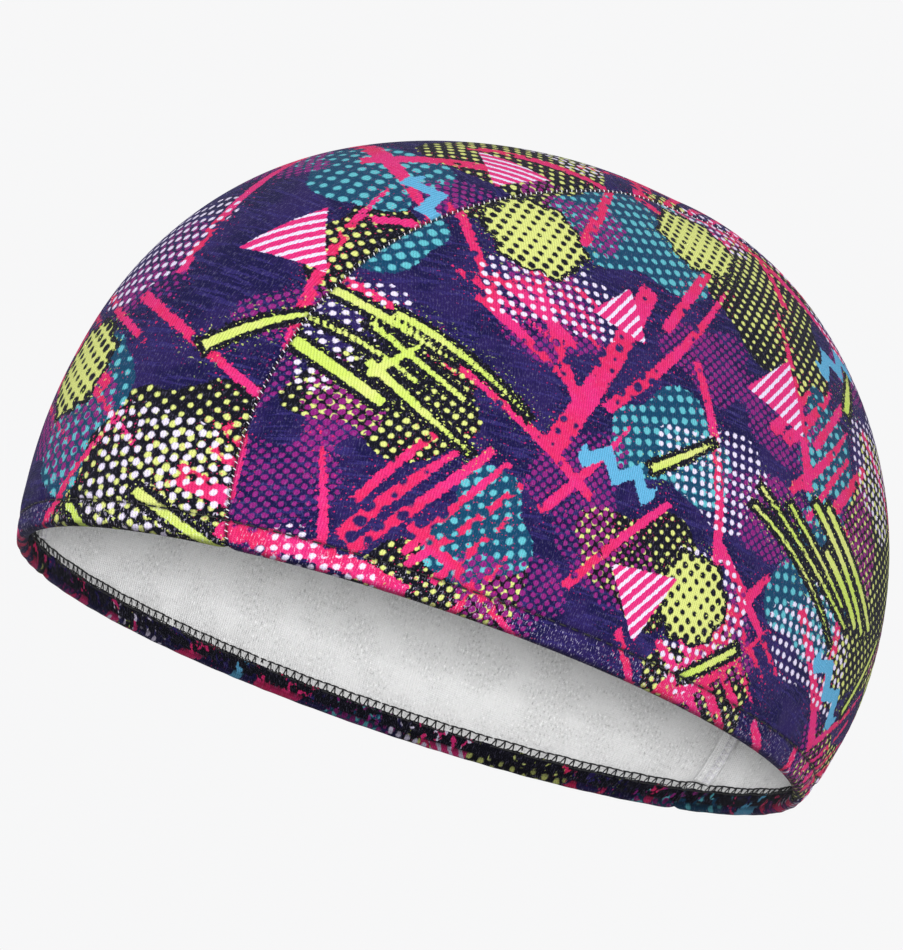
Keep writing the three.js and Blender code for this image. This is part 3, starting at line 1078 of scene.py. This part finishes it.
def sew_on(name, rows, material):
    """Makes one piece of thread. rows hold the stitches' middles, ways ahead, ways out and sizes."""
    middle, ahead, out, size = (np.concatenate(part) for part in zip(*rows))
    mesh = new_mesh(name, middle.tolist(), [], {"ahead": ahead, "out": out, "size": size})
    obj = add_object(name, mesh)
    group = bpy.data.node_groups.get("Stitching") or stitching_nodes()
    stitch = unit_stitch()
    modifier = obj.modifiers.new("Stitching", "NODES")
    modifier.node_group = group
    values = {"Stitch": stitch, "Thread": bpy.data.materials[material]}
    for item in group.interface.items_tree:
        if item.in_out == "INPUT" and item.name in values:
            modifier[item.identifier] = values[item.name]
    context = bpy.context.evaluated_depsgraph_get()
    plain = bpy.data.meshes.new_from_object(obj.evaluated_get(context))
    if len(plain.polygons) < len(middle):
        raise RuntimeError(f"{name}: the stitches weren't laid")
    obj.modifiers.clear()
    obj.data = plain
    plain.name = name
    bpy.data.objects.remove(stitch)
    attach(obj, "root")


def between(start, end, out, width, high, longer=1.1):
    """Stitches that run from start to end."""
    away = end - start
    long = np.linalg.norm(away, axis=1)
    size = np.stack([long * longer, np.full_like(long, width), np.full_like(long, high)], axis=1)
    return (start + end) / 2, unit(away), out, size


def grid_area(points):
    """Area of a grid of points."""
    across = np.diff(points, axis=1)[:-1]
    along = np.diff(points, axis=0)[:, :-1]
    return float(np.linalg.norm(np.cross(across, along), axis=-1).sum())


def make_panel(tailor, name, sheet, node, side, seed):
    """Builds one panel. side is 1 on the wearer's left, -1 on the right and 0 in the middle."""
    theta, climb, depth, turned = sheet
    printed, back = tailor.sew(theta, climb, depth, turned)
    area = grid_area(printed)
    place = unrolled(tailor, theta, climb, turned)
    flat = flat_centre(place) if side == 0 else flat_side(place)
    paints = paint(flat.reshape(-1, 2), seed)
    vectors = {key: values.reshape(*theta.shape, 3) for key, values in paints.items()}
    nothing = np.zeros((*theta.shape, 1))
    vectors["cloth_place"] = np.concatenate([flat, nothing], axis=-1)
    mirrored = np.abs(place[..., :1]) * (1, 0, 0) + place * (0, 1, 1)
    seam_distance = distance_to_line(mirrored.reshape(-1, 3), tailor.seam_line)[0].reshape(nothing.shape)
    vectors["cloth_edge"] = np.concatenate([place[..., 2:] / MM, seam_distance / MM, nothing], axis=-1)
    if side == -1:
        printed, back = (points[:, ::-1] * (-1, 1, 1) for points in (printed, back))
        vectors = {key: values[:, ::-1] for key, values in vectors.items()}
    obj = add_object(name, sheet_mesh(name, printed, back, vectors))
    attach(obj, "root")
    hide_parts(node)
    return obj, area


class CAP_OT_materials(Operator):
    """Makes the printed and the plain cloth"""

    bl_idname = "swim_cap.materials"
    bl_label = "Cloth materials"

    def execute(self, context):
        printed_cloth("printed_cloth")
        plain_cloth("plain_cloth")
        thread = settings().thread
        thread_material("black_thread", thread.black)
        thread_material("white_thread", thread.white)
        return {"FINISHED"}


class CAP_OT_side_panels(Operator):
    """Sews the two side panels, each with its turned-in hem"""

    bl_idname = "swim_cap.side_panels"
    bl_label = "Side panels"

    def execute(self, context):
        tailor = Tailor()
        sheet = side_sheet(tailor)
        for name, node, side, seed in (("left_panel_cloth", "left_panel", 1, 11),
                                       ("right_panel_cloth", "right_panel", -1, 23)):
            obj, area = make_panel(tailor, name, sheet, node, side, seed)
        return {"FINISHED"}


class CAP_OT_centre_panel(Operator):
    """Sews the centre panel, with its turned-in hem at the forehead and the nape"""

    bl_idname = "swim_cap.centre_panel"
    bl_label = "Centre panel"

    def execute(self, context):
        tailor = Tailor()
        sheet = centre_sheet(tailor)
        obj, area = make_panel(tailor, "centre_panel_cloth", sheet, "centre_panel", 0, 37)
        return {"FINISHED"}


# The section of a seam allowance, in millimetres: how far each corner is from the seam and into the cap
ALLOWANCE_SECTION = [(0.15, 1.0), (0.1, 1.8), (0.45, 2.2), (1.1, 2.25), (2.2, 2.1), (3.4, 2.12), (4.4, 2.2),
                     (4.85, 2.05), (5.0, 1.6), (4.9, 1.02), (2.5, 0.95)]
# The threads that bind its edge, one row each: from and to, as away, depth and share of a pitch along
ALLOWANCE_THREADS = [
    ((3.3, 2.24, -0.5), (3.3, 2.24, 0.5)),
    ((5.05, 1.9, -0.5), (5.05, 1.9, 0.5)),
    ((3.3, 2.3, -0.3), (5.0, 2.2, 0.1)),
    ((3.3, 2.3, 0.4), (5.0, 2.2, 0.1)),
]


class Allowance:
    """The strip of cloth that lies beside the left seam, inside the centre panel."""

    def __init__(self, tailor):
        dome = tailor.dome
        theta, climb = dome.from_chart(dome.seam_on_chart(0.0, 401)[1:-1])
        self.base = dome.point(theta, climb)
        self.out = dome.outwards(theta, climb)
        across = unit(np.cross(unit(np.gradient(self.base, axis=0)), self.out))
        self.across = across * -np.sign(across[:, :1])
        self.along = lengths_along(self.base)
        turns = TURN * self.along / MM
        self.wave = 0.22 * np.sin(turns / 11) + 0.12 * np.sin(turns / 6.1 + 1)
        self.pitch = tailor.thread.lock_pitch
        self.links = np.arange(0, self.along[-1], self.pitch)

    def line(self, away, depth):
        """A line beside the seam, away from it and deeper into the cap, in millimetres."""
        away = away * (1 + 0.04 * self.wave) * MM
        drop = (depth + 0.05 * self.wave) * MM + away ** 2 / (150 * MM)
        return self.base + self.across * away[:, None] - self.out * drop[:, None]

    def at_links(self, values, shift=0.0):
        """Values at each link of the binding thread, moved along by a share of its pitch."""
        spot = self.links + shift * self.pitch
        return np.stack([np.interp(spot, self.along, column) for column in values.T], axis=1)

    def strip(self):
        """Rings of points round the strip, and their places on the flat cloth."""
        rings = np.stack([self.line(away, depth) for away, depth in ALLOWANCE_SECTION], axis=1)
        places = np.zeros_like(rings)
        places[..., 0] = [away for away, _ in ALLOWANCE_SECTION]
        places[..., 1] = self.along[:, None] / MM
        return rings, places

    def binding(self, flip, width):
        """Rows of stitches over the strip's edge."""
        facing = self.at_links(-self.out) * flip
        rows = []
        for ends in ALLOWANCE_THREADS:
            start, end = (self.at_links(self.line(away, depth), shift) * flip for away, depth, shift in ends)
            rows.append(between(start, end, facing, width, 0.8 * width, 1.15))
        return rows


class CAP_OT_allowances(Operator):
    """Presses the seam allowances against the inside of the centre panel and binds their edges"""

    bl_idname = "swim_cap.allowances"
    bl_label = "Seam allowances"

    def execute(self, context):
        tailor = Tailor()
        allowance = Allowance(tailor)
        rings, places = allowance.strip()
        points, faces, rows = [], [], []
        for side in (1, -1):
            flip = np.array((side, 1, 1))
            own_points, own_faces = tube(rings * flip)
            faces += [tuple(len(points) + corner for corner in face) for face in own_faces]
            points += own_points.tolist()
            rows += allowance.binding(flip, tailor.thread.lock_width)
        vectors = {"cloth_place": np.concatenate([places, places])}
        mesh = new_mesh("seam_allowances", points, faces, vectors, ["plain_cloth"])
        mesh.set_sharp_from_angle(angle=ALLOWANCE_CREASE)
        obj = add_object("seam_allowances", mesh)
        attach(obj, "root")
        sew_on("allowance_overlock", rows, "white_thread")
        return {"FINISHED"}


# Half a topstitch's dash, as a share of the pitch, and how far it lies off the cloth in millimetres
HALF_DASH = 0.37
DASH_LIFT = 0.12


class CAP_OT_topstitch(Operator):
    """Sews the line of dashes round the outside of the hem"""

    bl_idname = "swim_cap.topstitch"
    bl_label = "Topstitch"

    def execute(self, context):
        tailor = Tailor()
        thread = tailor.thread
        turns = tailor.dome.round_the_rim(thread.top_pitch)
        step = TURN * HALF_DASH * thread.top_pitch / tailor.dome.rim_along[-1]
        height = np.full_like(turns, thread.top_height)
        first, out = spots(tailor, turns - step, height, "outside")
        last, _ = spots(tailor, turns + step, height, "outside")
        lift = out * DASH_LIFT * MM
        row = between(first + lift, last + lift, out, thread.top_width, thread.top_width)
        sew_on("hem_topstitch", [row], "black_thread")
        return {"FINISHED"}


# Where an overlock rung's two legs start and where both end, as shares of the pitch
RUNG_FEET = (-0.32, 0.42)
RUNG_HEAD = 0.12
# How far the chain's stitches reach past their ends, so that they join
STITCH_OVERLAP = 1.15


class CAP_OT_overlock(Operator):
    """Sews the two chains and the leaning rungs over the hem's raw edge"""

    bl_idname = "swim_cap.overlock"
    bl_label = "Hem overlock"

    def execute(self, context):
        tailor = Tailor()
        thread, edge = tailor.thread, tailor.cloth.raw_edge
        turns = tailor.dome.round_the_rim(thread.lock_pitch)
        step = TURN / len(turns)
        wide = thread.lock_width

        def place(shift, height, where, lift):
            points, facing = spots(tailor, turns + shift * step, np.full_like(turns, height), where)
            return points + facing * lift * MM, facing

        rows = []
        for chain in ((thread.lock_low, "ply", 0.14), (thread.lock_high, "inside", 0.42)):
            start, facing = place(-0.5, *chain)
            end, _ = place(0.5, *chain)
            rows.append(between(start, end, facing, 1.2 * wide, wide, STITCH_OVERLAP))
        stops = ((0.0, thread.lock_low, "ply", 0.16), (0.2, edge, "ply", 0.22),
                 (0.4, edge + 0.6 * MM, "inside", 0.42), (1.0, thread.lock_high, "inside", 0.46))
        for foot in RUNG_FEET:
            marks = [place(foot + share * (RUNG_HEAD - foot), *stop) for share, *stop in stops]
            for (start, facing), (end, _) in zip(marks, marks[1:]):
                rows.append(between(start, end, facing, wide, 0.6 * wide, STITCH_OVERLAP))
        sew_on("hem_overlock", rows, "black_thread")
        return {"FINISHED"}


# The seams' stitches: half their reach over the seam and their thickness, in millimetres
SEAM_REACH = 0.42
SEAM_THREAD = 0.26
# Then one row for each colour: piece, thread, first place, slant, and lift off the cloth in millimetres
SEAM_STITCHES = [
    ("seam_thread_dark", "black_thread", 2, 1.5, 0.34),
    ("seam_thread_pale", "white_thread", 3, 0.5, 0.3),
]


class CAP_OT_seam_stitches(Operator):
    """Sews the dark and pale stitches that show in the dips of the two seams"""

    bl_idname = "swim_cap.seam_stitches"
    bl_label = "Seam stitches"

    def execute(self, context):
        tailor = Tailor()
        count = round(lengths_along(tailor.seam_line)[-1] / tailor.thread.seam_pitch)
        theta, climb = tailor.dome.whole_seam(2 * count + 1)
        flat = np.zeros_like(theta)
        points, _ = tailor.sew(theta, climb, flat, flat)
        out = tailor.dome.outwards(theta, climb)
        along = unit(np.gradient(points, axis=0))
        across = np.cross(out, along)
        flip = np.array((-1, 1, 1))
        for name, material, first, slant, lift in SEAM_STITCHES:
            pick = slice(first, -2, 2)
            middle = points[pick] + out[pick] * lift * MM
            reach = unit(across[pick] + slant * along[pick]) * SEAM_REACH * MM
            row = between(middle - reach, middle + reach, out[pick], SEAM_THREAD * MM, SEAM_THREAD * MM)
            other = (*(part * flip for part in row[:3]), row[3])
            sew_on(name, [row, other], material)
        return {"FINISHED"}


class CAP_OT_stage(Operator):
    """Sets up the camera, the soft lights, the pale world and the floor"""

    bl_idname = "swim_cap.stage"
    bl_label = "Stage"

    def execute(self, context):
        make_camera()
        make_lights()
        make_floor()
        return {"FINISHED"}


PHOTO_WIDTH, PHOTO_HEIGHT = 903, 950
LOOK_AT = Vector((0, 0, 0.05))
SENSOR_WIDTH = 36
WORLD_COLOUR = (0.93, 0.93, 0.935, 1)
FLOOR_COLOURS = (0.84, 0.84, 0.845), (0.9, 0.9, 0.9)
FLOOR_REACH = 20.0

# One row for each lamp: azimuth and elevation in degrees, distance and size in metres, power in watts
LAMPS = [
    {"name": "key_light", "azimuth": 40, "elevation": 42, "distance": 1.6, "size": 1.2, "power": 5},
    {"name": "fill_light", "azimuth": 120, "elevation": 10, "distance": 1.8, "size": 1.4, "power": 1},
    {"name": "front_light", "azimuth": 64, "elevation": -10.5, "distance": 1.6, "size": 0.16, "power": 22},
]


def direction(azimuth, elevation):
    """The way from the cap to what stands at these angles."""
    level = math.cos(elevation)
    return Vector((math.sin(azimuth) * level, -math.cos(azimuth) * level, math.sin(elevation)))


def make_camera():
    """The camera of the photograph. Its roll gives the cap the tilt that it has in the picture."""
    stage = settings().stage
    back = direction(stage.azimuth, stage.elevation)
    right = Vector((math.cos(stage.azimuth), math.sin(stage.azimuth), 0))
    up = back.cross(right)
    across = right * math.cos(stage.roll) + up * math.sin(stage.roll)
    upright = up * math.cos(stage.roll) - right * math.sin(stage.roll)
    data = bpy.data.cameras.new("camera")
    camera = add_object("camera", data)
    turn = Matrix((across, upright, back)).transposed().to_4x4()
    camera.matrix_world = Matrix.Translation(LOOK_AT + back * stage.distance) @ turn
    data.sensor_width = SENSOR_WIDTH
    data.lens = stage.focal_pixels * SENSOR_WIDTH / PHOTO_HEIGHT
    data.shift_x = (PHOTO_WIDTH / 2 - stage.centre_x) / PHOTO_HEIGHT
    data.shift_y = (stage.centre_y - PHOTO_HEIGHT / 2) / PHOTO_HEIGHT
    data.clip_start = 0.01
    bpy.context.scene.camera = camera


def make_lights():
    for row in LAMPS:
        back = direction(math.radians(row["azimuth"]), math.radians(row["elevation"]))
        data = bpy.data.lights.new(row["name"], "AREA")
        data.energy = row["power"]
        data.size = row["size"]
        lamp = add_object(row["name"], data)
        lamp.location = LOOK_AT + back * row["distance"]
        lamp.rotation_euler = back.to_track_quat("Z", "Y").to_euler()
    world = bpy.data.worlds.new("studio")
    world.use_nodes = True
    ground = world.node_tree.nodes["Background"]
    ground.inputs["Color"].default_value = WORLD_COLOUR
    ground.inputs["Strength"].default_value = 1.0
    bpy.context.scene.world = world
    bpy.context.scene.view_settings.view_transform = "Standard"


def make_floor():
    shader = Shader("pale_floor")
    grain = shader.noise(shader.read("ShaderNodeTexCoord", out="Object"), 3.0, 4.0)
    shader.finish(shader.mix(grain, *FLOOR_COLOURS), 0.6, grain, 0.02, 0.001)
    drop, reach = -settings().stage.floor_drop, FLOOR_REACH
    corners = [(-reach, -reach, drop), (reach, -reach, drop), (reach, reach, drop), (-reach, reach, drop)]
    mesh = new_mesh("floor", corners, [(0, 1, 2, 3)], {}, ["pale_floor"])
    add_object("floor", mesh)


class CAP_PT_sidebar(Panel):
    """Lists the steps that make the swim cap"""

    bl_idname = "CAP_PT_sidebar"
    bl_label = "Swim Cap"
    bl_space_type = "VIEW_3D"
    bl_region_type = "UI"
    bl_category = "Swim Cap"

    def draw(self, context):
        for step in STEPS:
            self.layout.operator(step.bl_idname)
        cap = context.scene.swim_cap
        for group in (cap.shape, cap.cloth, cap.paint, cap.thread, cap.stage):
            box = self.layout.box()
            for name in group.__annotations__:
                box.prop(group, name)


STEPS = (CAP_OT_stage, CAP_OT_materials, CAP_OT_side_panels, CAP_OT_allowances, CAP_OT_centre_panel,
         CAP_OT_topstitch, CAP_OT_overlock, CAP_OT_seam_stitches)
GROUPS = (CapShape, CapCloth, CapPrint, CapThread, CapStage, SwimCap)


def register():
    for each in (*GROUPS, *STEPS, CAP_PT_sidebar):
        bpy.utils.register_class(each)
    bpy.types.Scene.swim_cap = PointerProperty(type=SwimCap)


def unregister():
    del bpy.types.Scene.swim_cap
    for each in reversed((*GROUPS, *STEPS, CAP_PT_sidebar)):
        bpy.utils.unregister_class(each)


def main():
    register()
    for step in STEPS:
        group, action = step.bl_idname.split(".")
        getattr(getattr(bpy.ops, group), action)()


if __name__ == "__main__":
    main()
